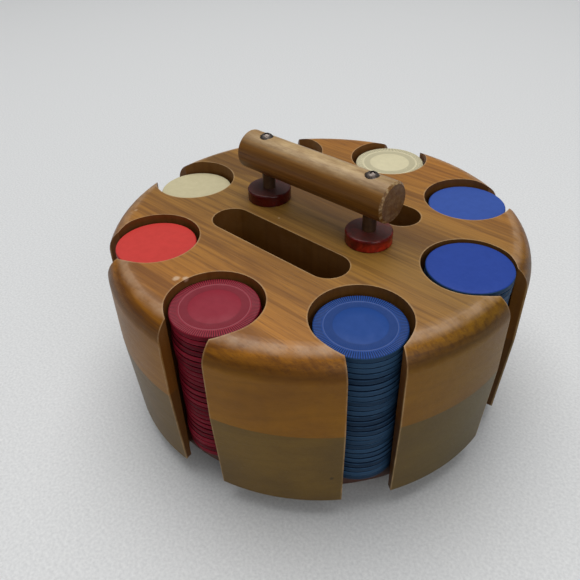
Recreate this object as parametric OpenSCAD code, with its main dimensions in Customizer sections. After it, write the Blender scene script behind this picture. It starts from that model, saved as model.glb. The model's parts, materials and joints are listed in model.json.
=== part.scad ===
// Revolving poker chip caddy: a laminated wooden drum with open-sided chip wells and two card
// slots, carried by a dowel handle, turning on a ball-race turntable over a small round base.
// Origin: centre of the underside, on the table. +Z is up, +X runs along the handle.

/* [Drum] */
// Widest diameter of the drum
drum_d = 203.2; // [190:0.2:210]
// Diameter of the drum at its underside
drum_foot_d = 198; // [186:0.5:203]
// Thickness of the upper board of the lamination
upper_board_t = 40.8; // [36:0.2:46]
// Thickness of the lower board of the lamination
lower_board_t = 45.8; // [40:0.2:50]
// Radius of the rounded top edge
edge_round_r = 12; // [8:0.5:13]

/* [Chip wells] */
// Diameter of each well
well_d = 41.8; // [41:0.1:42.5]
// Radius of the circle through the well centres
well_ring_r = 77.5; // [76.5:0.1:78]
// Angle from the handle's line to the first well
well_turn = 8.8; // [6:0.2:10]
// Width of the opening from each well to the outside
mouth_w = 22.6; // [20:0.2:26]

/* [Floor] */
// Diameter of the floor plate let into the drum's underside
floor_d = 182; // [174:0.5:186]
// Thickness of the floor plate
floor_t = 9.6; // [8:0.2:11]
// Radius of the circle through the floor plate's screws
floor_screw_r = 79.5; // [78:0.5:81]

/* [Card slots] */
// Overall length of each card slot
slot_l = 80; // [78:0.5:82]
// Width of each card slot
slot_w = 19.3; // [18.5:0.1:20]
// Distance from the drum's axis to a slot's centre line
slot_offset = 27.4; // [26.5:0.1:28]

/* [Chips] */
// Diameter of a chip
chip_d = 38; // [37:0.1:38.5]
// Thickness of a chip
chip_t = 2.86; // [2.7:0.02:2.9]
// Air left between two chips in a stack
chip_gap = 0.09; // [0.05:0.01:0.12]
// Bevel on a chip's rim
chip_bevel = 0.45; // [0.3:0.05:0.7]
// Furthest that a chip sits away from its stack's axis
chip_stray = 0.3; // [0:0.05:0.4]

/* [Handle] */
// Diameter of the grip
grip_d = 19; // [17:0.5:21]
// Length of the grip
grip_l = 87; // [84:0.5:92]
// Chamfer on the grip's ends
grip_chamfer = 1; // [0.5:0.1:1.5]
// Height of the grip's axis above the drum's top
grip_rise = 23.5; // [22:0.5:26]
// Distance from the drum's axis to each post
post_x = 31.5; // [30:0.5:33]
// Diameter of a post
post_d = 6.4; // [6:0.1:8]
// Diameter of a collar
collar_d = 22; // [20:0.5:24]
// Thickness of a collar
collar_t = 6; // [5:0.5:7]

/* [Handle screws] */
// Diameter of a screw's shank
screw_d = 4; // [3.5:0.1:4.5]
// Diameter of a screw's round head
screw_head_d = 6.6; // [6:0.1:8]
// Length of shank that goes into the drum
screw_bite = 24; // [18:1:30]

/* [Base] */
// Diameter of the base disc
base_d = 164; // [150:1:170]
// Thickness of the base disc
base_t = 6; // [5:0.5:7]
// Diameter of the felt pad
felt_d = 156; // [140:1:162]
// Thickness of the felt pad
felt_t = 1.2; // [1:0.1:1.5]

/* [Turntable] */
// Diameter of the two turntable plates
plate_d = 104; // [96:1:110]
// Thickness of each turntable plate
plate_t = 1.5; // [1.2:0.1:2]
// Gap between the two plates
plate_gap = 1.8; // [1.6:0.1:2]
// Diameter of a bearing ball
ball_d = 3.2; // [3:0.1:3.4]
// Radius of the circle through the ball centres
race_r = 36; // [30:0.5:40]
// Number of balls
ball_count = 18; // [12:1:24]
// Radius of the circle through the plate screws
plate_screw_r = 45; // [42:0.5:46]
// Diameter of the rivet that holds the plates together
rivet_d = 8; // [6:0.5:10]

/* [Hidden] */
$fn = 96;

well_count = 8;
// Chips in each well, counted round from the first well
stack_counts = [26, 25, 25, 24, 24, 25, 25, 25];
// How far each stack stands towards the outside of its well
stack_lean = [0, 0.3, 0.6, 0, 0.4, 0.3, -0.6, 0.5];
// How far each stack stands to one side of its well
stack_slip = [0, 0, 0, 0, -0.4, 0, -1.2, 0];

// Running clearance round a shaft, and the air that booleans cut past a face
fit = 0.05;
past = 1;

race_z = felt_t + base_t + plate_t + plate_gap / 2;
drum_z = felt_t + base_t + 2 * plate_t + plate_gap;
seam_z = drum_z + lower_board_t;
top_z = seam_z + upper_board_t;
floor_z = drum_z + floor_t;
grip_z = top_z + grip_rise;
socket_depth = 2.5;
post_top_z = grip_z - grip_d / 2 + socket_depth;
chip_pitch = chip_t + chip_gap;
head_seat_z = grip_z + grip_d / 2 - 0.4;
head_rise = 1.9;
plate_screw_d = 3;
plate_screw_head_d = 5.6;
plate_screw_l = 5.5;
access_hole_d = 9;
floor_screw_d = 4;
floor_screw_l = 28;
floor_screw_head_d = 8;
floor_screw_head_t = 2.4;
// Half a pitch between the lower and the upper plate screws
upper_screw_turn = 45;

wood_top = "#a8763a";
wood_low = "#7d6b4c";
wood_floor = "#5a3a24";
wood_grip = "#96672f";
catalin = "#6a1014";
walnut = "#3a2418";
steel = "#8a8a8c";

module at_wells() {
    for (i = [0 : well_count - 1])
        rotate([0, 0, well_turn + i * 360 / well_count]) children();
}

module at_posts() {
    for (side = [-1, 1]) translate([side * post_x, 0, 0]) children();
}

// Outline of the upper board: a square corner with its top edge rounded to an arc
module upper_outline() {
    r = drum_d / 2;
    difference() {
        square([r, upper_board_t]);
        difference() {
            translate([r - edge_round_r, upper_board_t - edge_round_r])
                square(edge_round_r + past);
            translate([r - edge_round_r, upper_board_t - edge_round_r])
                circle(edge_round_r);
        }
    }
}

module lower_outline() {
    polygon([[0, 0], [drum_foot_d / 2, 0], [drum_d / 2, lower_board_t], [0, lower_board_t]]);
}

// Everything that is bored or milled right through the glued-up drum
module drum_cuts() {
    cut_z = drum_z - past;
    cut_h = top_z - drum_z + 2 * past;
    at_wells() {
        translate([well_ring_r, 0, cut_z]) cylinder(d = well_d, h = cut_h);
        translate([well_ring_r, -mouth_w / 2, cut_z]) cube([drum_d / 2, mouth_w, cut_h]);
    }
    for (side = [-1, 1]) translate([0, side * slot_offset, cut_z]) card_slot(cut_h);
}

// Slot with round ends
module card_slot(h) {
    straight = slot_l - slot_w;
    translate([-straight / 2, -slot_w / 2, 0]) cube([straight, slot_w, h]);
    for (side = [-1, 1]) translate([side * straight / 2, 0, 0]) cylinder(d = slot_w, h = h);
}

module upper_board() {
    color(wood_top) difference() {
        translate([0, 0, seam_z]) rotate_extrude() upper_outline();
        drum_cuts();
        at_posts() translate([0, 0, top_z - screw_bite])
            cylinder(d = screw_d + 2 * fit, h = screw_bite + past);
    }
}

module lower_board() {
    color(wood_low) difference() {
        translate([0, 0, drum_z]) rotate_extrude() lower_outline();
        drum_cuts();
        translate([0, 0, drum_z - past]) cylinder(d = floor_d, h = floor_t + past);
        at_floor_screws() translate([0, 0, floor_z - past])
            cylinder(d = floor_screw_d + 2 * fit, h = floor_screw_l);
    }
}

module floor_plate() {
    color(wood_floor) difference() {
        translate([0, 0, drum_z]) cylinder(d = floor_d, h = floor_t);
        plate_screw_holes(upper_screw_turn, drum_z - past, plate_screw_l + past);
        at_floor_screws() translate([0, 0, drum_z - past]) {
            cylinder(d = floor_screw_d + 2 * fit, h = floor_t + 2 * past);
            cylinder(d = floor_screw_head_d + 2 * fit, h = past + floor_screw_head_t);
        }
    }
}

// Screws up through the floor plate, into the wood between two wells
module at_floor_screws() {
    for (i = [0 : well_count / 2 - 1])
        rotate([0, 0, well_turn + (2 * i + 0.5) * 360 / well_count])
            translate([floor_screw_r, 0, 0]) children();
}

module floor_screws() {
    tip_l = 4;
    color(steel) at_floor_screws() translate([0, 0, drum_z]) {
        cylinder(d = floor_screw_head_d, h = floor_screw_head_t);
        cylinder(d = floor_screw_d, h = floor_screw_l - tip_l);
        translate([0, 0, floor_screw_l - tip_l]) cylinder(d1 = floor_screw_d, d2 = 1, h = tip_l);
    }
}

// Four screw holes on the turntable's screw circle
module plate_screw_holes(turn, z, h) {
    for (i = [0 : 3])
        rotate([0, 0, turn + i * 90]) translate([plate_screw_r, 0, z])
            cylinder(d = plate_screw_d + 2 * fit, h = h);
}

module handle_grip() {
    color(wood_grip) difference() {
        translate([-grip_l / 2, 0, grip_z]) rotate([0, 90, 0]) rotate_extrude() polygon([
            [0, 0], [grip_d / 2 - grip_chamfer, 0], [grip_d / 2, grip_chamfer],
            [grip_d / 2, grip_l - grip_chamfer], [grip_d / 2 - grip_chamfer, grip_l], [0, grip_l]
        ]);
        at_posts() {
            translate([0, 0, top_z]) cylinder(d = post_d + 2 * fit, h = post_top_z - top_z + fit);
            translate([0, 0, top_z]) cylinder(d = screw_d + 2 * fit, h = 2 * grip_rise);
            translate([0, 0, head_seat_z]) cylinder(d = screw_head_d + 2 * fit, h = grip_d);
        }
    }
}

// Sleeve round a handle screw, standing on its collar
module handle_post(side) {
    z = top_z + collar_t;
    color(walnut) translate([side * post_x, 0, z]) difference() {
        cylinder(d = post_d, h = post_top_z - z);
        translate([0, 0, -past]) cylinder(d = screw_d + 2 * fit, h = grip_rise);
    }
}

// Turned collar with a softened rim
module handle_collar(side) {
    r = collar_d / 2;
    bore_r = screw_d / 2 + fit;
    soft = 0.6;
    color(catalin) translate([side * post_x, 0, top_z]) rotate_extrude() polygon([
        [bore_r, 0], [r - soft / 2, 0], [r, soft / 2],
        [r, collar_t - soft], [r - soft, collar_t], [bore_r, collar_t]
    ]);
}

module handle_screws() {
    tip_l = 6;
    shank_l = head_seat_z - top_z + screw_bite - tip_l - 2 * fit;
    color(steel) at_posts() {
        translate([0, 0, head_seat_z - shank_l]) cylinder(d = screw_d, h = shank_l);
        translate([0, 0, head_seat_z - shank_l - tip_l])
            cylinder(d1 = 1, d2 = screw_d, h = tip_l);
        difference() {
            translate([0, 0, head_seat_z]) rotate_extrude() dome_outline(screw_head_d, head_rise);
            for (turn = [0, 90]) rotate([0, 0, turn])
                translate([-1.6, -0.35, head_seat_z + head_rise - 0.9]) cube([3.2, 0.7, 2]);
        }
    }
}

// Half section of a domed head: the cap of a circle above its chord
module dome_outline(d, rise) {
    ball_r = (d * d / 4 + rise * rise) / (2 * rise);
    intersection() {
        translate([0, rise - ball_r]) circle(ball_r);
        square([d, rise]);
    }
}

module base_disc() {
    soft = 1;
    r = base_d / 2;
    color(wood_top) difference() {
        translate([0, 0, felt_t]) rotate_extrude() polygon([
            [0, 0], [r - soft, 0], [r, soft], [r, base_t - soft], [r - soft, base_t], [0, base_t]
        ]);
        plate_screw_holes(0, felt_t + base_t - plate_screw_l + plate_t, plate_screw_l);
        // Lets a driver reach the upper plate's screws, one at a time, as the drum is turned
        rotate([0, 0, upper_screw_turn]) translate([plate_screw_r, 0, 0])
            cylinder(d = access_hole_d, h = felt_t + base_t + past);
        // Room for the rivet's lower head
        translate([0, 0, felt_t + base_t - 2]) cylinder(d = 2 * rivet_d, h = 3);
    }
}

module base_felt() {
    color("darkgreen") cylinder(d = felt_d, h = felt_t);
}

// One stamped plate: grooved for the balls on its inner side, bored for the rivet
module turntable_plate(z) {
    difference() {
        translate([0, 0, z]) cylinder(d = plate_d, h = plate_t);
        translate([0, 0, z - past]) cylinder(d = rivet_d + 0.2, h = plate_t + 2 * past);
        translate([0, 0, race_z]) rotate_extrude() translate([race_r, 0])
            circle(d = ball_d + 0.2);
    }
}

module turntable_lower_plate() {
    z = felt_t + base_t;
    color(steel) difference() {
        turntable_plate(z);
        plate_screw_holes(0, z - past, plate_t + 2 * past);
        rotate([0, 0, upper_screw_turn]) translate([plate_screw_r, 0, z - past])
            cylinder(d = access_hole_d - 2, h = plate_t + 2 * past);
    }
}

module turntable_upper_plate() {
    z = drum_z - plate_t;
    color(steel) difference() {
        turntable_plate(z);
        plate_screw_holes(upper_screw_turn, z - past, plate_t + 2 * past);
    }
}

module turntable_balls() {
    color("silver") for (i = [0 : ball_count - 1])
        rotate([0, 0, i * 360 / ball_count]) translate([race_r, 0, race_z]) sphere(d = ball_d);
}

// Headed at both ends: the lower head sits in the base, the upper head between the plates
module turntable_rivet() {
    lower_z = felt_t + base_t;
    head_t = 1.5;
    color(steel) {
        translate([0, 0, lower_z - head_t]) cylinder(d = rivet_d * 1.6, h = head_t);
        translate([0, 0, lower_z]) cylinder(d = rivet_d, h = drum_z - lower_z - fit);
        translate([0, 0, lower_z + plate_t + fit]) cylinder(d = rivet_d * 1.4, h = 0.8);
    }
}

// Pan-head screw standing on its tip, head upwards
module plate_screw() {
    cylinder(d1 = 1, d2 = plate_screw_d, h = 1.5);
    translate([0, 0, 1.5]) cylinder(d = plate_screw_d, h = plate_screw_l - 1.5 - fit);
    translate([0, 0, plate_screw_l - fit]) cylinder(d = plate_screw_head_d, h = 0.8);
}

module lower_plate_screws() {
    z = felt_t + base_t + plate_t - plate_screw_l + 2 * fit;
    color(steel) for (i = [0 : 3])
        rotate([0, 0, i * 90]) translate([plate_screw_r, 0, z]) plate_screw();
}

module upper_plate_screws() {
    z = drum_z - plate_t + plate_screw_l - 2 * fit;
    color(steel) for (i = [0 : 3])
        rotate([0, 0, upper_screw_turn + i * 90]) translate([plate_screw_r, 0, z])
            mirror([0, 0, 1]) plate_screw();
}

module chip() {
    r = chip_d / 2;
    rotate_extrude() polygon([
        [0, 0], [r - chip_bevel, 0], [r, chip_bevel],
        [r, chip_t - chip_bevel], [r - chip_bevel, chip_t], [0, chip_t]
    ]);
}

// A stack of separate chips, each a little off the stack's axis as hands leave them
module chip_stack(well, tint) {
    lean = stack_lean[well];
    slip = stack_slip[well];
    color(tint) rotate([0, 0, well_turn + well * 360 / well_count])
        for (i = [0 : stack_counts[well] - 1])
            translate([
                well_ring_r + lean + chip_stray * sin(i * 47 + well * 50),
                slip + chip_stray * cos(i * 61 + well * 70),
                floor_z + fit + i * chip_pitch
            ]) chip();
}

upper_board();
lower_board();
floor_plate();
floor_screws();
handle_grip();
handle_post(-1);  // handle_post_left
handle_post(1);  // handle_post_right
handle_collar(-1);  // handle_collar_left
handle_collar(1);  // handle_collar_right
handle_screws();
base_disc();
base_felt();
turntable_lower_plate();
turntable_upper_plate();
turntable_balls();
turntable_rivet();
lower_plate_screws();
upper_plate_screws();
chip_stack(0, "#2f49a8");  // chips_blue_right
chip_stack(1, "#3c55a5");  // chips_blue_back
chip_stack(2, "#d8cfae");  // chips_cream_back
chip_stack(3, "#d8cfae");  // chips_cream_left_back
chip_stack(4, "#cfc59c");  // chips_cream_left
chip_stack(5, "#d2484a");  // chips_red_left
chip_stack(6, "#8c2a44");  // chips_maroon_front
chip_stack(7, "#27498c");  // chips_blue_front
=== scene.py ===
# Looks for the revolving poker chip caddy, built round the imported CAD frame.
# Metres throughout. The frame's +X runs along the handle, +Z is up, the table is at z = 0.
import json
import math
import random

import bmesh
import bpy
from mathutils import Matrix, Vector

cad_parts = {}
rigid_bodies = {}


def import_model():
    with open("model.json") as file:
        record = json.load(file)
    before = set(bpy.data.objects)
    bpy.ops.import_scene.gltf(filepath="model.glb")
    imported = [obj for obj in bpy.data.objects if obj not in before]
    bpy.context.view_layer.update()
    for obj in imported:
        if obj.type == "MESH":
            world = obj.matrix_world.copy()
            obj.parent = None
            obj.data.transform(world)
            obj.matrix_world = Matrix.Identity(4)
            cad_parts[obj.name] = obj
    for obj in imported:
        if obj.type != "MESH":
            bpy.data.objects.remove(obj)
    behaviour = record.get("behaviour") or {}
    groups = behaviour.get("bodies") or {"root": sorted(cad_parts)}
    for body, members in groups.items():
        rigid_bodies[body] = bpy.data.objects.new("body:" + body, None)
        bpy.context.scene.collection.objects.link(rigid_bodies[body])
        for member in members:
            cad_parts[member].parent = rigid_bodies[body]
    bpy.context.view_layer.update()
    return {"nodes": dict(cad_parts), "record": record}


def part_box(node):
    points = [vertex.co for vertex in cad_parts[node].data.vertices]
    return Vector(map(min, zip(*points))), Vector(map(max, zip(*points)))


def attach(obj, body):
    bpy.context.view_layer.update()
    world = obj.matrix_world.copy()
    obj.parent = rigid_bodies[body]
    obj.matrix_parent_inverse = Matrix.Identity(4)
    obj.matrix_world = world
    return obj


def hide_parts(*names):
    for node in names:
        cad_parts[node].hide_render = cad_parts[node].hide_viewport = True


for leftover in list(bpy.data.objects):
    bpy.data.objects.remove(leftover)

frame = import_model()
nodes = frame["nodes"]
MM = 0.001

# --- places worked out from the frame ---------------------------------------------------
drum_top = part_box("upper_board")[1][2]
seam_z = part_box("upper_board")[0][2]
drum_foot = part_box("lower_board")[0][2]
drum_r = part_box("upper_board")[1][0]
DRUM_TAPER = 2.6 * MM
drum_foot_r = drum_r - DRUM_TAPER


# --- node graph helpers -----------------------------------------------------------------
class Graph:
    """A material's node tree, with short calls for the nodes that the materials share."""

    def __init__(self, name):
        self.material = bpy.data.materials.new(name)
        self.material.use_nodes = True
        self.tree = self.material.node_tree
        self.shader = self.tree.nodes["Principled BSDF"]

    def node(self, kind, **settings):
        made = self.tree.nodes.new(kind)
        for key, value in settings.items():
            setattr(made, key, value)
        return made

    def feed(self, socket, value):
        """Sets an input to a number, a colour or another node's output."""
        if isinstance(value, bpy.types.NodeSocket):
            self.tree.links.new(value, socket)
        elif hasattr(value, "__len__") and len(value) == 3 and socket.type == "RGBA":
            socket.default_value = (*value, 1)
        else:
            socket.default_value = value

    def place(self):
        """Object coordinates, which stay with the piece at every pose."""
        return self.node("ShaderNodeTexCoord").outputs["Object"]

    def noise(self, where, scale, detail=4, rough=0.5, warp=0.0):
        made = self.node("ShaderNodeTexNoise")
        self.feed(made.inputs["Vector"], where)
        self.feed(made.inputs["Scale"], scale)
        self.feed(made.inputs["Detail"], detail)
        self.feed(made.inputs["Roughness"], rough)
        self.feed(made.inputs["Distortion"], warp)
        return made.outputs["Fac"]

    def ramp(self, value, *stops):
        """stops are (place, colour or grey)."""
        made = self.node("ShaderNodeValToRGB")
        band = made.color_ramp
        while len(band.elements) < len(stops):
            band.elements.new(0.5)
        for element, (place, tint) in zip(band.elements, stops):
            element.position = place
            tint = (tint, tint, tint) if isinstance(tint, (int, float)) else tint
            element.color = (*tint, 1)
        self.feed(made.inputs["Fac"], value)
        return made.outputs["Color"]

    def mix(self, amount, first, second, blend="MIX"):
        made = self.node("ShaderNodeMix", data_type="RGBA", blend_type=blend)
        made.clamp_factor = True
        self.feed(made.inputs[0], amount)
        self.feed(made.inputs[6], first)
        self.feed(made.inputs[7], second)
        return made.outputs[2]

    def math(self, operation, first, second=0.0):
        made = self.node("ShaderNodeMath", operation=operation)
        for socket, value in zip(made.inputs, (first, second)):
            self.feed(socket, value)
        return made.outputs[0]

    def times(self, first, second):
        return self.math("MULTIPLY", first, second)

    def hypot(self, first, second):
        squares = self.math("ADD", self.math("POWER", first, 2), self.math("POWER", second, 2))
        return self.math("SQRT", squares)

    def remap(self, value, low, high, to_low=0.0, to_high=1.0):
        made = self.node("ShaderNodeMapRange")
        for key, number in zip(
            ("Value", "From Min", "From Max", "To Min", "To Max"), (value, low, high, to_low, to_high)
        ):
            self.feed(made.inputs[key], number)
        return made.outputs[0]

    def split(self, where):
        made = self.node("ShaderNodeSeparateXYZ")
        self.feed(made.inputs[0], where)
        return made.outputs

    def bump(self, height, strength, distance):
        made = self.node("ShaderNodeBump")
        self.feed(made.inputs["Height"], height)
        self.feed(made.inputs["Strength"], strength)
        self.feed(made.inputs["Distance"], distance)
        return made.outputs["Normal"]

    def finish(self, **inputs):
        for key, value in inputs.items():
            self.feed(self.shader.inputs[key.replace("_", " ").title().replace("Ior", "IOR")], value)
        return self.material


def tone(colour, factor):
    return tuple(channel * factor for channel in colour)


# --- where the drum's openings are, for wear round their lips ----------------------------
WELL_TURN = math.radians(8.8)
WELL_STEP = math.radians(45)
WELL_RING_R = 77.5 * MM
WELL_R = 20.9 * MM
MOUTH_HALF = 11.3 * MM
SLOT_Y = 27.4 * MM
SLOT_R = 9.65 * MM
SLOT_STRAIGHT_HALF = 30.35 * MM


def lip_distance(g, place):
    """Distance, seen from above, from the nearest well, mouth or card slot."""
    x, y, _ = g.split(place)
    radius = g.hypot(x, y)
    angle = g.math("SUBTRACT", g.math("ARCTAN2", y, x), WELL_TURN)
    nearest = g.times(g.math("ROUND", g.math("DIVIDE", angle, WELL_STEP)), WELL_STEP)
    off = g.math("SUBTRACT", angle, nearest)
    out = g.math("SUBTRACT", g.times(radius, g.math("COSINE", off)), WELL_RING_R)
    side = g.math("ABSOLUTE", g.times(radius, g.math("SINE", off)))
    centre = g.hypot(out, side)
    well = g.math("SUBTRACT", centre, WELL_R)
    mouth = g.math("MAXIMUM", g.math("SUBTRACT", side, MOUTH_HALF), g.times(out, -1))
    past = g.math("MAXIMUM", g.math("SUBTRACT", g.math("ABSOLUTE", x), SLOT_STRAIGHT_HALF), 0)
    across = g.math("SUBTRACT", g.math("ABSOLUTE", y), SLOT_Y)
    slot = g.math("SUBTRACT", g.hypot(past, across), SLOT_R)
    return g.math("MINIMUM", g.math("MINIMUM", well, mouth), slot)


# --- materials --------------------------------------------------------------------------
# How far the tree's centre lies outside the board, and how far its rings wander
PITH_Y, PITH_Z = 35 * MM, 90 * MM
RING_WANDER = 14 * MM
# Colours of the worn lips, and of the painted highlight where the top starts to roll over
WORN_LIP, PALE_CREST_HIGHLIGHT = (0.46, 0.30, 0.15), (0.46, 0.30, 0.18)
GREY_MIDDLE, ORANGE_RIM = (0.88, 0.99, 0.98), (1.18, 1.05, 0.74)
# Multipliers for the bands of painted shade where the top rolls over into the side
AMBER_SHADE_BAND, DEEP_SHADE_BAND = (0.82, 0.74, 0.10), (0.56, 0.54, 0.45)
SHADE_SPREAD = 0.12


def stretched(g, place, scale, seed):
    """Coordinates squeezed along each axis and shifted by the seed, for streaky noise."""
    mapping = g.node("ShaderNodeMapping")
    g.feed(mapping.inputs["Vector"], place)
    g.feed(mapping.inputs["Scale"], scale)
    g.feed(mapping.inputs["Location"], (seed * 3.7, seed * 1.9, seed * 5.3))
    return mapping.outputs["Vector"]


def wood_grain(g, place, light, dark, seed, figure=1.0, calm=0.0):
    """Colour and height of a plain-sawn board whose grain runs along X. calm fades the figure."""
    warp = g.noise(stretched(g, place, (5, 16, 16), seed), 1, 3, 0.5)
    x, y, z = g.split(place)
    from_pith = g.hypot(g.math("ADD", y, PITH_Y), g.math("ADD", z, PITH_Z))
    ring = g.math("ADD", from_pith, g.times(warp, RING_WANDER * figure))
    bands = g.node("ShaderNodeTexNoise", noise_dimensions="1D")
    g.feed(bands.inputs["W"], ring)
    g.feed(bands.inputs["Scale"], 210)
    g.feed(bands.inputs["Detail"], 5)
    g.feed(bands.inputs["Roughness"], 0.62)
    streak = g.ramp(bands.outputs["Fac"], (0.34, 0.0), (0.52, 0.25), (0.68, 0.85))
    bold = g.math("SUBTRACT", 1.0, g.times(calm, 0.8))
    streak = g.times(streak, bold)
    line = g.noise(stretched(g, place, (11, 420, 420), seed + 2), 1, 3, 0.6)
    fibre = g.noise(stretched(g, place, (28, 1100, 1100), seed + 3), 1, 3, 0.6)
    pores = g.noise(stretched(g, place, (90, 2100, 2100), seed + 5), 1, 2, 0.5)
    pore = g.remap(pores, 0.60, 0.72)
    patch = g.remap(g.noise(stretched(g, place, (9, 22, 22), seed + 7), 1, 2, 0.5), 0.35, 0.65)
    tint = g.mix(streak, light, dark)
    tint = g.mix(g.times(patch, 0.3), tint, tone(light, 0.72))
    tint = g.mix(g.times(g.remap(line, 0.45, 0.66, 0.0, 0.62), bold), tint, tone(dark, 0.9))
    tint = g.mix(g.times(g.remap(fibre, 0.25, 0.75, 0.0, 0.34), bold), tint, tone(dark, 0.8))
    tint = g.mix(g.times(g.times(pore, 0.45), bold), tint, tone(dark, 0.45))
    height = g.math("SUBTRACT", g.times(fibre, 0.6), g.times(pore, 0.8))
    return tint, height, fibre


def normal_parts(g):
    """The normal in the piece's own frame, so that nothing changes when the piece turns."""
    return g.split(g.node("ShaderNodeTexCoord").outputs["Normal"])


def mark(g, place, tint, spot, size, colour, strength, mottle):
    """A small ragged stain, or a spot where the finish has come off."""
    away = g.node("ShaderNodeVectorMath", operation="DISTANCE")
    g.feed(away.inputs[0], place)
    g.feed(away.inputs[1], tuple(c * MM for c in spot))
    reach = g.math("ADD", away.outputs["Value"], g.times(mottle, size * 1.2 * MM))
    return g.mix(g.remap(reach, size * 1.0 * MM, size * 1.6 * MM, strength, 0.0), tint, colour)


def board(name, light, dark, seed, wall, side, marks=()):
    """Lacquered drum wood: pale worn lips, redder well walls and darker end grain."""
    g = Graph(name)
    place = g.place()
    x, y, z = g.split(place)
    nx, _, nz = normal_parts(g)
    upright = g.remap(g.math("ABSOLUTE", nz), 0.25, 0.6, 1.0, 0.0)
    tint, height, fibre = wood_grain(g, place, light, dark, seed, 1.0, upright)
    # The middle of the board is greyer and its rim more orange, as the photo shows them
    outward = g.remap(g.math("ABSOLUTE", y), 12 * MM, 75 * MM)
    tint = g.mix(1.0, tint, g.mix(outward, GREY_MIDDLE, ORANGE_RIM), "MULTIPLY")
    end = g.math("POWER", g.math("ABSOLUTE", nx), 2)
    tint = g.mix(g.times(end, 0.30), tint, tone(dark, 0.75))
    tint = g.mix(upright, tint, g.mix(1.0, tint, side, "MULTIPLY"))
    # A band of painted shade, amber, with a deeper band of painted shade inside it, lies where the top rolls
    # over into the side
    roll = g.times(g.remap(nz, 0.02, 0.50), g.remap(nz, 0.96, 0.78))
    tint = g.mix(roll, tint, g.mix(1.0, tint, AMBER_SHADE_BAND, "MULTIPLY"))
    deep_shade = g.times(g.remap(nz, 0.06, 0.30), g.remap(nz, 0.78, 0.50))
    tint = g.mix(deep_shade, tint, g.mix(1.0, tint, DEEP_SHADE_BAND, "MULTIPLY"))
    cloud = g.noise(stretched(g, place, (26, 26, 40), seed + 9), 1, 3, 0.6)
    tint = g.mix(g.times(upright, g.remap(cloud, 0.40, 0.66, 0.0, 0.4)), tint, tone(dark, 0.9))
    lip = lip_distance(g, place)
    inside = g.times(g.remap(lip, 0.25 * MM, 0.6 * MM, 1.0, 0.0), upright)
    radius = g.hypot(x, y)
    outside = g.math("SUBTRACT", radius, g.remap(z, drum_foot, seam_z, drum_foot_r, drum_r))
    outside = g.remap(outside, -1.0 * MM, -0.5 * MM)
    inside = g.times(inside, g.math("SUBTRACT", 1.0, outside))
    tint = g.mix(g.times(inside, 0.75), tint, wall)
    chatter = g.noise(stretched(g, place, (420, 420, 14), seed + 11), 1, 2, 0.5)
    tint = g.mix(g.times(inside, g.remap(chatter, 0.45, 0.7, 0.0, 0.28)), tint, tone(wall, 0.5))
    patchy = g.noise(stretched(g, place, (160, 160, 160), seed + 13), 1, 3, 0.6)
    near_top = g.remap(z, drum_top - 16 * MM, drum_top - 8 * MM)
    worn = g.times(g.remap(lip, 0.0, 0.75 * MM, 1.0, 0.0), g.remap(patchy, 0.32, 0.62, 0.25, 1.0))
    corner = g.math("SUBTRACT", 1.0, g.times(inside, 0.9))
    worn = g.times(g.times(worn, corner), g.math("MAXIMUM", near_top, outside))
    tint = g.mix(g.times(worn, 0.75), tint, WORN_LIP)
    # A patchy painted highlight lies where the top starts to roll over
    crest_highlight = g.times(g.remap(nz, 0.80, 0.92), g.remap(nz, 0.998, 0.975))
    tint = g.mix(g.times(crest_highlight, g.remap(patchy, 0.30, 0.62, 0.1, 0.5)), tint, PALE_CREST_HIGHLIGHT)
    for spot, size, colour, strength in marks:
        tint = mark(g, place, tint, spot, size, colour, strength, patchy)
    rough = g.remap(fibre, 0.2, 0.8, 0.32, 0.46)
    normal = g.bump(height, 0.25, 0.25 * MM)
    gloss = g.remap(upright, 0.0, 1.0, 0.3, 0.14)
    return g.finish(base_color=tint, roughness=rough, normal=normal, specular_ior_level=gloss)


def turned_wood(name, light, dark, seed, rough=0.4, figure=1.0, pale_wear_and_highlight=None):
    """Lacquered wood for the small turned pieces and the plates: pale wear on rims and ends, and on top a
    painted highlight with wear.
    """
    g = Graph(name)
    place = g.place()
    tint, height, fibre = wood_grain(g, place, light, dark, seed, figure)
    nx, _, nz = normal_parts(g)
    end = g.math("POWER", g.math("ABSOLUTE", nx), 4)
    tint = g.mix(g.times(end, 0.6), tint, tone(dark, 0.7))
    if pale_wear_and_highlight is not None:
        # On top the pale colour is a painted highlight with wear; on the rims and the ends it is wear
        grazed = g.noise(stretched(g, place, (110, 520, 520), seed + 17), 1, 5, 0.7)
        along = g.math("ABSOLUTE", g.split(place)[0])
        top = g.times(g.remap(nz, 0.60, 0.97), g.remap(along, 20 * MM, 40 * MM, 1.0, 0.6))
        tint = g.mix(g.times(top, g.remap(grazed, 0.36, 0.66, 0.45, 0.95)), tint, pale_wear_and_highlight)
        side = g.math("ABSOLUTE", nx)
        rim = g.times(g.remap(side, 0.12, 0.4), g.remap(side, 0.98, 0.85))
        chipped = g.noise(stretched(g, place, (500, 500, 500), seed + 19), 1, 4, 0.7)
        tint = g.mix(g.times(rim, g.remap(chipped, 0.44, 0.62, 0.0, 0.7)), tint, pale_wear_and_highlight)
        tint = g.mix(g.times(end, g.remap(chipped, 0.45, 0.75, 0.0, 0.25)), tint, pale_wear_and_highlight)
    g.shader.inputs["Specular IOR Level"].default_value = 0.3
    normal = g.bump(height, 0.25, 0.2 * MM)
    roughness = g.remap(fibre, 0.2, 0.8, rough - 0.07, rough + 0.1)
    return g.finish(base_color=tint, roughness=roughness, normal=normal)


def metal(name, tint, rough, tarnish):
    g = Graph(name)
    place = g.place()
    blotch = g.noise(place, 900, 3, 0.6)
    colour = g.mix(g.remap(blotch, 0.4, 0.7), tint, tarnish)
    return g.finish(base_color=colour, metallic=1.0, roughness=g.remap(blotch, 0.3, 0.8, rough, rough + 0.2))


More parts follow.
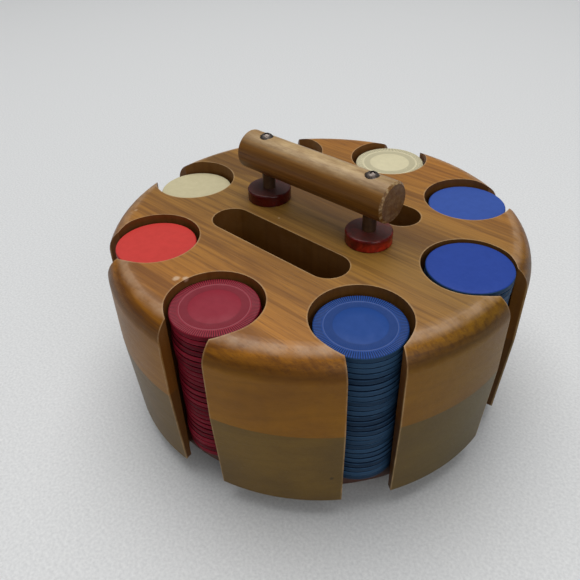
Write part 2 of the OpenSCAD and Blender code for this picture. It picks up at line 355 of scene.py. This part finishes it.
def resin(name):
    """Cast resin collars. Their glow and the left one's shade are painted, so they turn with the drum."""
    g = Graph(name)
    place = g.place()
    swirl = g.noise(place, 160, 3, 0.6, 1.5)
    colour = g.mix(g.remap(swirl, 0.3, 0.7), (0.06, 0.003, 0.003), (0.20, 0.010, 0.005))
    dust = g.noise(place, 700, 4, 0.7)
    nx, ny, nz = normal_parts(g)
    # The glow is painted low on the side away from the lamp, and most on the right collar
    x, _, z = g.split(place)
    away = g.math("SUBTRACT", g.times(nx, 0.8), g.times(ny, 0.35))
    glow = g.times(g.remap(away, 0.2, 0.95), g.remap(z, drum_top + 5 * MM, drum_top + 2 * MM))
    glow = g.times(glow, g.remap(x, -10 * MM, 10 * MM, 0.15, 1.0))
    glow = g.times(glow, g.remap(swirl, 0.35, 0.6, 0.3, 0.9))
    colour = g.mix(glow, colour, (0.50, 0.030, 0.010))
    # The left collar is painted darker, as it is in the photo
    colour = g.mix(g.remap(x, -10 * MM, 10 * MM, 0.65, 0.0), colour, (0.03, 0.002, 0.002))
    top = g.remap(nz, 0.75, 0.95)
    colour = g.mix(g.times(top, g.remap(dust, 0.3, 0.7, 0.35, 0.7)), colour, (0.11, 0.055, 0.045))
    rough = g.math("ADD", g.remap(dust, 0.3, 0.7, 0.06, 0.15), g.times(top, 0.3))
    g.shader.inputs["Specular IOR Level"].default_value = 0.28
    g.shader.inputs["Subsurface Weight"].default_value = 0.25
    g.shader.inputs["Subsurface Radius"].default_value = (1.0, 0.08, 0.04)
    g.shader.inputs["Subsurface Scale"].default_value = 3 * MM
    return g.finish(base_color=colour, roughness=rough)


def felt(name):
    g = Graph(name)
    place = g.place()
    fuzz = g.noise(place, 1500, 4, 0.7)
    colour = g.mix(fuzz, (0.015, 0.07, 0.035), (0.04, 0.14, 0.07))
    g.shader.inputs["Sheen Weight"].default_value = 0.4
    return g.finish(base_color=colour, roughness=0.95, normal=g.bump(fuzz, 0.6, 0.3 * MM))


def clay(name, tint, edge, seed, relief, marks=()):
    """Chip composition: each chip its own tone, edges darkened with painted shade, scuffed and moulded
    faces.
    """
    g = Graph(name)
    place = g.place()
    shade = g.node("ShaderNodeAttribute", attribute_name="shade").outputs["Fac"]
    colour = g.mix(shade, tone(tint, 1 - SHADE_SPREAD), tone(tint, 1 + SHADE_SPREAD))
    mottle = g.noise(place, 260, 4, 0.6)
    colour = g.mix(g.remap(mottle, 0.35, 0.75, 0.0, 0.22), colour, tone(tint, 0.6))
    if relief:
        reach = g.node("ShaderNodeAttribute", attribute_name="reach").outputs["Fac"]
        groove = g.node("ShaderNodeAttribute", attribute_name="groove").outputs["Fac"]
        # Painted shade darkens the recessed ring and the grooves between the teeth, and a painted highlight
        # lightens the raised rib
        shaded_ring = g.times(g.remap(reach, 0.565, 0.585), g.remap(reach, 0.765, 0.755))
        colour = g.mix(g.times(shaded_ring, 0.5), colour, tone(tint, 0.62))
        highlit_ridge = g.times(g.remap(reach, 0.762, 0.770), g.remap(reach, 0.79, 0.782))
        colour = g.mix(g.times(highlit_ridge, 0.32), colour, tuple(0.7 * c + 0.16 for c in tint))
        outer = g.times(g.remap(reach, 0.79, 0.80), g.remap(reach, 1.0, 0.985))
        colour = g.mix(outer, colour, tone(tint, 1.35))
        colour = g.mix(groove, colour, tone(tint, 0.12))
    slope = g.math("ABSOLUTE", normal_parts(g)[2])
    highlight_patches = g.noise(stretched(g, place, (300, 300, 1500), seed), 1, 3, 0.6)
    # Painted by slope: an edge darkened with painted shade, a patchy painted highlight on its shoulders, and
    # painted shade in the joint between two chips
    band = g.mix(shade, tone(edge, 0.6), tone(edge, 1.8))
    lit_shoulder = g.times(g.remap(slope, 0.15, 0.35), g.remap(slope, 0.70, 0.45))
    band = g.mix(g.times(lit_shoulder, g.remap(highlight_patches, 0.35, 0.65, 0.1, 0.7)), band, tone(edge, 3.4))
    band = g.mix(g.remap(slope, 0.55, 0.80), band, tone(edge, 0.25))
    buried = g.node("ShaderNodeAttribute", attribute_name="buried").outputs["Fac"]
    rim = g.math("MAXIMUM", g.remap(slope, 0.45, 0.80, 1.0, 0.0), buried)
    colour = g.mix(g.times(rim, 0.95), colour, band)
    speck = g.noise(place, 1300, 2, 0.5)
    colour = g.mix(g.remap(speck, 0.72, 0.78, 0.0, 0.5), colour, tone(edge, 3.5))
    for spot, size, stain, strength in marks:
        colour = mark(g, place, colour, spot, size, stain, strength, mottle)
    height = g.math("ADD", g.times(mottle, 0.4), g.times(speck, 0.3))
    rough = g.math("SUBTRACT", g.remap(mottle, 0.3, 0.7, 0.42, 0.6), g.times(rim, 0.05))
    gloss = g.remap(rim, 0.0, 1.0, 0.2, 0.06)
    normal = g.bump(height, 0.12, 0.3 * MM)
    return g.finish(base_color=colour, roughness=rough, normal=normal, specular_ior_level=gloss)


TOP_LIGHT, TOP_DARK = (0.38, 0.175, 0.034), (0.13, 0.048, 0.010)
LOW_LIGHT, LOW_DARK = (0.19, 0.13, 0.050), (0.075, 0.046, 0.018)
GRIP_LIGHT, GRIP_DARK = (0.25, 0.105, 0.014), (0.085, 0.030, 0.004)
PALE_WOOD = (0.55, 0.38, 0.24)
TOP_WALL, TOP_SIDE = (0.125, 0.040, 0.009), (0.68, 0.69, 0.24)
LOW_WALL, LOW_SIDE = (0.100, 0.034, 0.009), (0.80, 0.74, 0.44)
# Each mark is its place in mm, its size in mm, its colour and its strength
TOP_MARKS = (
    ((-12.6, -77.0, 98.6), 1.9, PALE_WOOD, 0.8),
    ((-9.3, -74.2, 98.6), 1.7, PALE_WOOD, 0.8),
    ((-13.3, -12.3, 98.6), 0.8, PALE_WOOD, 0.6),
    ((-73.8, -53.1, 98.6), 1.1, PALE_WOOD, 0.5),
)
LOW_MARKS = (((69.7, -70.9, 29.2), 1.2, (0.03, 0.02, 0.012), 0.8),)

finishes = {
    "upper_wood": board("UpperWood", TOP_LIGHT, TOP_DARK, 1.0, TOP_WALL, TOP_SIDE, TOP_MARKS),
    "lower_wood": board("LowerWood", LOW_LIGHT, LOW_DARK, 2.0, LOW_WALL, LOW_SIDE, LOW_MARKS),
    "floor_wood": turned_wood("FloorWood", (0.09, 0.026, 0.010), (0.045, 0.012, 0.006), 3.0, 0.5),
    "base_wood": turned_wood("BaseWood", (0.10, 0.035, 0.012), (0.05, 0.015, 0.007), 4.0, 0.45),
    "grip_wood": turned_wood("GripWood", GRIP_LIGHT, GRIP_DARK, 5.0, 0.36, 0.5, (0.54, 0.38, 0.19)),
    "post_wood": turned_wood("PostWood", (0.12, 0.060, 0.026), (0.045, 0.020, 0.009), 6.0, 0.4),
    "collar_resin": resin("CollarResin"),
    "screw_steel": metal("ScrewSteel", (0.20, 0.17, 0.15), 0.3, (0.06, 0.045, 0.035)),
    "steel": metal("PlatedSteel", (0.62, 0.62, 0.64), 0.3, (0.42, 0.42, 0.43)),
    "ball_steel": metal("BallSteel", (0.8, 0.8, 0.82), 0.08, (0.6, 0.6, 0.62)),
    "felt": felt("Felt"),
}


# --- the CAD parts keep their shapes and get softened edges and better materials ----------
TOUCHING = 0.001 * MM
BEVEL_SEGMENTS = 3
SHARP_ANGLE = math.radians(32)


def soften(node, width):
    """Rounds a CAD part's edges. Its faces arrive unjoined, so they are joined first."""
    part = nodes[node]
    weld = part.modifiers.new("Join", "WELD")
    weld.merge_threshold = TOUCHING
    bevel = part.modifiers.new("Soften", "BEVEL")
    bevel.width = width
    bevel.segments = BEVEL_SEGMENTS
    bevel.limit_method = "ANGLE"
    bevel.angle_limit = SHARP_ANGLE
    part.modifiers.new("Flat", "WEIGHTED_NORMAL").keep_sharp = True


slot_of = {entry["node"]: entry["material_slot"] for entry in frame["record"]["subparts"]}
for name, part in nodes.items():
    if slot_of[name] in finishes:
        for slot in part.material_slots:
            slot.material = finishes[slot_of[name]]

# Width of each part's softened edges, in mm
EDGES = {
    "upper_board": 0.5, "lower_board": 0.4, "handle_grip": 0.4, "handle_collar_left": 0.5,
    "handle_collar_right": 0.5, "floor_plate": 0.4, "base_disc": 0.6,
}
for name, width in EDGES.items():
    soften(name, width * MM)


# --- chips ------------------------------------------------------------------------------
GROOVES = 120
EDGE_ROUND = 0.75 * MM
EDGE_STEPS = 5
TOOTH = 0.24 * MM
TOOTH_SHAPE = (0.0, 0.5, 1.0, 0.5)
PLAIN_SEGMENTS = 96
LEVELS_PER_CHIP = 4
LAYERS = ("shade", "reach", "groove", "buried")


def arc(centre, radius, first, last, steps):
    """Points (r, z) on an arc, angles in degrees."""
    for i in range(steps + 1):
        a = math.radians(first + (last - first) * i / steps)
        yield centre[0] + radius * math.cos(a), centre[1] + radius * math.sin(a)


def face_profile(radius, top, relief):
    """A chip's upper face from its centre to its rounded edge, as (r, z, groove depth)."""
    if not relief:
        flat = [(0, top - 0.04 * MM, 0), (radius * 0.35, top - 0.04 * MM, 0),
                (radius * 0.75, top - 0.03 * MM, 0)]
        groove = 0
    else:
        low = top - 0.14 * MM
        flat = [(0, top - 0.02 * MM, 0), (radius * 0.3, top - 0.02 * MM, 0),
                (radius * 0.565, top - 0.02 * MM, 0), (radius * 0.58, low, 0),
                (radius * 0.60, low, 0.05 * MM), (radius * 0.745, low, 0.05 * MM),
                (radius * 0.76, low, 0), (radius * 0.768, top, 0), (radius * 0.784, top, 0),
                (radius * 0.792, low, 0), (radius * 0.81, top, TOOTH), (radius * 0.88, top, TOOTH)]
        groove = TOOTH
    corner = (radius - EDGE_ROUND, top - EDGE_ROUND)
    for r, z in arc(corner, EDGE_ROUND, 90, 0, EDGE_STEPS):
        fade = min(1, max(0, (z - top + EDGE_ROUND) / EDGE_ROUND))
        flat.append((r, z, groove * (0.35 + 0.65 * fade)))
    return flat


def add_chip(bm, layers, centre, low, high, radius, relief, shade, turn, buried):
    """One chip, lathed: its upper face, rounded edge and lower face."""
    segments = GROOVES * len(TOOTH_SHAPE) if relief else PLAIN_SEGMENTS
    upper = face_profile(radius, high, relief)
    lower = [(r, low + high - z, 0) for r, z, _ in reversed(face_profile(radius, high, False))]
    rings = []
    for r, z, groove in upper + lower:
        ring = []
        for k in range(segments if r > 0 else 1):
            a = turn + 2 * math.pi * k / segments
            depth = TOOTH_SHAPE[k % len(TOOTH_SHAPE)] if groove else 0
            dip = groove * depth
            down = z < high - EDGE_ROUND * 0.5
            rr, zz = (r - dip * 0.6, z) if down else (r, z - dip)
            vert = bm.verts.new((centre[0] + rr * math.cos(a), centre[1] + rr * math.sin(a), zz))
            vert[layers["shade"]] = shade
            vert[layers["reach"]] = r / radius if z > (low + high) / 2 else 0
            vert[layers["groove"]] = depth * min(1, groove / TOOTH)
            vert[layers["buried"]] = buried
            ring.append(vert)
        rings.append(ring)
    for upper_ring, lower_ring in zip(rings, rings[1:]):
        for k in range(segments):
            n = (k + 1) % segments
            if len(upper_ring) == 1:
                corners = (upper_ring[0], lower_ring[k], lower_ring[n])
            elif len(lower_ring) == 1:
                corners = (upper_ring[k], lower_ring[0], upper_ring[n])
            else:
                corners = (upper_ring[k], lower_ring[k], lower_ring[n], upper_ring[n])
            bm.faces.new(corners).smooth = True


def chip_places(node):
    """Each chip's centre, underside and top, read from the CAD stack: four levels to a chip."""
    points = [v.co for v in nodes[node].data.vertices]
    levels = sorted({round(p.z, 6) for p in points})
    for i in range(0, len(levels), LEVELS_PER_CHIP):
        low, high = levels[i], levels[i + LEVELS_PER_CHIP - 1]
        own = [p for p in points if low - TOUCHING <= p.z <= high + TOUCHING]
        xs, ys = [p.x for p in own], [p.y for p in own]
        yield ((min(xs) + max(xs)) / 2, (min(ys) + max(ys)) / 2), low, high, (max(xs) - min(xs)) / 2


def chip_stack(node, material, relief, seed):
    random.seed(seed)
    bm = bmesh.new()
    for key in LAYERS:
        bm.verts.layers.float.new(key)
    layers = {key: bm.verts.layers.float[key] for key in LAYERS}
    places = list(chip_places(node))
    for i, (centre, low, high, radius) in enumerate(places):
        last = i == len(places) - 1
        shade = 0.5 if last else random.random()
        turn = random.random() * math.pi
        add_chip(bm, layers, centre, low, high, radius, relief and last, shade, turn, 0 if last else 1)
    bmesh.ops.recalc_face_normals(bm, faces=bm.faces)
    mesh = bpy.data.meshes.new("Stack_" + node)
    bm.to_mesh(mesh)
    bm.free()
    mesh.materials.append(material)
    stack = bpy.data.objects.new("Stack_" + node, mesh)
    bpy.context.scene.collection.objects.link(stack)
    body = next(b for b, members in frame["record"]["behaviour"]["bodies"].items() if node in members)
    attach(stack, body)
    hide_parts(node)


BLUE, BLUE_BRIGHT, BLUE_BACK = (0.010, 0.053, 0.235), (0.012, 0.046, 0.275), (0.029, 0.076, 0.325)
CREAM, RED, MAROON = (0.63, 0.57, 0.37), (0.54, 0.038, 0.030), (0.25, 0.017, 0.032)
# Edge colours: each chip colour darkened with painted shade
BLUE_SHADED_EDGE, CREAM_SHADED_EDGE, RED_SHADED_EDGE, MAROON_SHADED_EDGE = (
    (0.014, 0.034, 0.062), (0.30, 0.26, 0.16), (0.20, 0.014, 0.014), (0.115, 0.005, 0.012))
SMUDGE = (0.10, 0.02, 0.02)
STACKS = (
    ("chips_blue_right", BLUE_BRIGHT, BLUE_SHADED_EDGE, False, ()),
    ("chips_blue_back", BLUE_BACK, BLUE_SHADED_EDGE, False, ()),
    ("chips_cream_back", CREAM, CREAM_SHADED_EDGE, True, ()),
    ("chips_cream_left_back", CREAM, CREAM_SHADED_EDGE, True, ()),
    ("chips_cream_left", (0.53, 0.47, 0.29), CREAM_SHADED_EDGE, False, ()),
    ("chips_red_left", RED, RED_SHADED_EDGE, False,
     (((-50.8, -56.7, 96.9), 1.6, SMUDGE, 0.7), ((-45.9, -65.8, 96.9), 0.8, SMUDGE, 0.5))),
    ("chips_maroon_front", MAROON, MAROON_SHADED_EDGE, True, ()),
    ("chips_blue_front", BLUE, BLUE_SHADED_EDGE, True, ()),
)
for i, (node, tint, edge, relief, marks) in enumerate(STACKS):
    chip_stack(node, clay("Clay_" + node, tint, edge, 20.0 + i, relief, marks=marks), relief, 100 + i)


# --- stage, lights and camera -----------------------------------------------------------
FLOOR_HALF = 4
LAMP_TARGET = (0, 0, 0.05)
CAMERA_TURN = (133.92, -37.44, -1.93)
CAMERA_X, CAMERA_Y, CAMERA_OVER_DRUM = 170.7 * MM, -197.4 * MM, 155.5 * MM


def build_floor():
    bm = bmesh.new()
    bmesh.ops.create_grid(bm, x_segments=1, y_segments=1, size=FLOOR_HALF)
    mesh = bpy.data.meshes.new("Floor")
    bm.to_mesh(mesh)
    bm.free()
    floor = bpy.data.objects.new("Floor", mesh)
    bpy.context.scene.collection.objects.link(floor)
    g = Graph("PaleFloor")
    place = g.place()
    grit = g.noise(place, 700, 3, 0.6)
    tint = g.mix(g.remap(grit, 0.3, 0.7), (0.60, 0.605, 0.605), (0.73, 0.735, 0.73))
    mesh.materials.append(g.finish(base_color=tint, roughness=0.6, normal=g.bump(grit, 0.15, 0.4 * MM)))


def area_light(name, where, size, power):
    """A lamp that faces the drum. Sizes in metres, power in watts."""
    data = bpy.data.lights.new(name, "AREA")
    data.shape = "RECTANGLE"
    data.size, data.size_y = size
    data.energy = power
    lamp = bpy.data.objects.new(name, data)
    lamp.location = where
    lamp.rotation_euler = (Vector(LAMP_TARGET) - Vector(where)).to_track_quat("-Z", "Y").to_euler()
    bpy.context.scene.collection.objects.link(lamp)


def build_lights():
    area_light("Key", (-0.32, 0.26, 1.9), (1.8, 1.8), 32)
    area_light("Fill", (1.5, -0.5, 0.9), (1.2, 1.2), 7)
    world = bpy.data.worlds.new("World")
    bpy.context.scene.world = world
    world.use_nodes = True
    # The world is bright overhead and dim low down, as a room is
    tree = world.node_tree
    coords = tree.nodes.new("ShaderNodeTexCoord")
    split = tree.nodes.new("ShaderNodeSeparateXYZ")
    height = tree.nodes.new("ShaderNodeMapRange")
    for key, value in (("From Min", 0.05), ("From Max", 0.8), ("To Min", 0.09), ("To Max", 0.37)):
        height.inputs[key].default_value = value
    tree.links.new(coords.outputs["Generated"], split.inputs[0])
    tree.links.new(split.outputs["Z"], height.inputs["Value"])
    tree.links.new(height.outputs[0], tree.nodes["Background"].inputs["Strength"])
    tree.nodes["Background"].inputs["Color"].default_value = (0.95, 0.97, 1.0, 1)


def build_camera():
    yaw, pitch, roll = (math.radians(a) for a in CAMERA_TURN)
    ahead = Vector((math.cos(pitch) * math.cos(yaw), math.cos(pitch) * math.sin(yaw), math.sin(pitch)))
    level = ahead.cross(Vector((0, 0, 1))).normalized()
    rise = level.cross(ahead)
    right = math.cos(roll) * level + math.sin(roll) * rise
    up = -math.sin(roll) * level + math.cos(roll) * rise
    data = bpy.data.cameras.new("Camera")
    data.sensor_width = 36
    data.lens = 38.49
    camera = bpy.data.objects.new("Camera", data)
    stand = Matrix.Translation((CAMERA_X, CAMERA_Y, drum_top + CAMERA_OVER_DRUM))
    camera.matrix_world = stand @ Matrix((right, up, -ahead)).transposed().to_4x4()
    bpy.context.scene.collection.objects.link(camera)
    bpy.context.scene.camera = camera


build_floor()
build_lights()
build_camera()
bpy.context.scene.view_settings.view_transform = "Standard"
